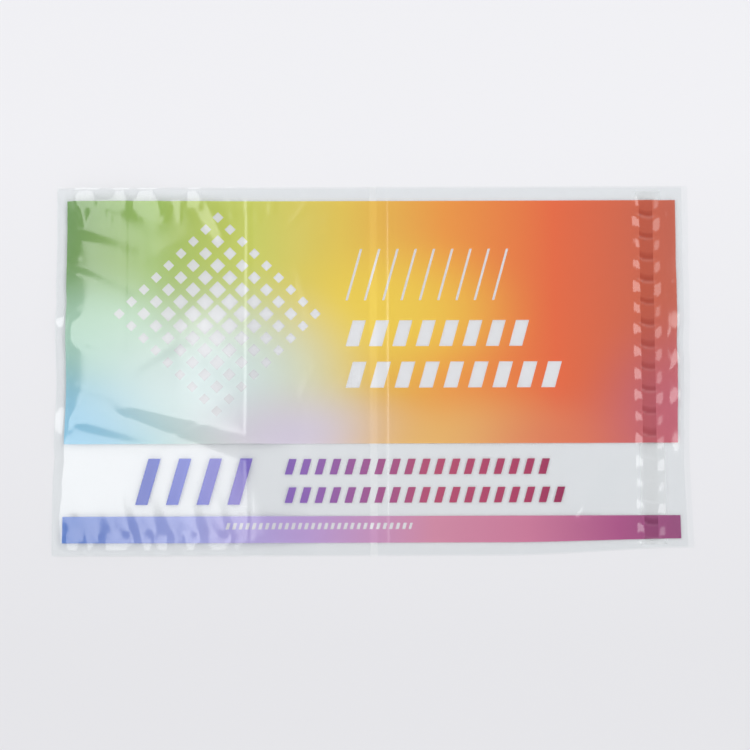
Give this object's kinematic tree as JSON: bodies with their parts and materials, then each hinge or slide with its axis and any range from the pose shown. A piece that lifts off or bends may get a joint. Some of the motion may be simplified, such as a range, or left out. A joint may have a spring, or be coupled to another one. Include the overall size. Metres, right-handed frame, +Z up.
{
  "type": "self-seal plastic bag",
  "caption": "Flat clear film bag, open at one short end, with a printed front panel and a peel-and-seal adhesive strip under a release liner inside the mouth.",
  "frame": {"origin": "centre of the bag's footprint, on the surface it lies on", "axes": "+X along the bag from the closed fold to the open mouth, +Y across it towards the top of the print, +Z up out of the printed front"},
  "size_m": [0.305, 0.178, 0.0031],
  "materials": {
    "printed_film": "clear glossy polyethylene film with a translucent colour print on the front panel",
    "adhesive": "clear tacky adhesive, slightly warm in tint",
    "liner": "thin milky release film, silicone coated"
  },
  "bodies": {
    "root": {"bag_film": "printed_film", "adhesive_strip": "adhesive", "release_liner": "liner"}
  },
  "joints": []
}
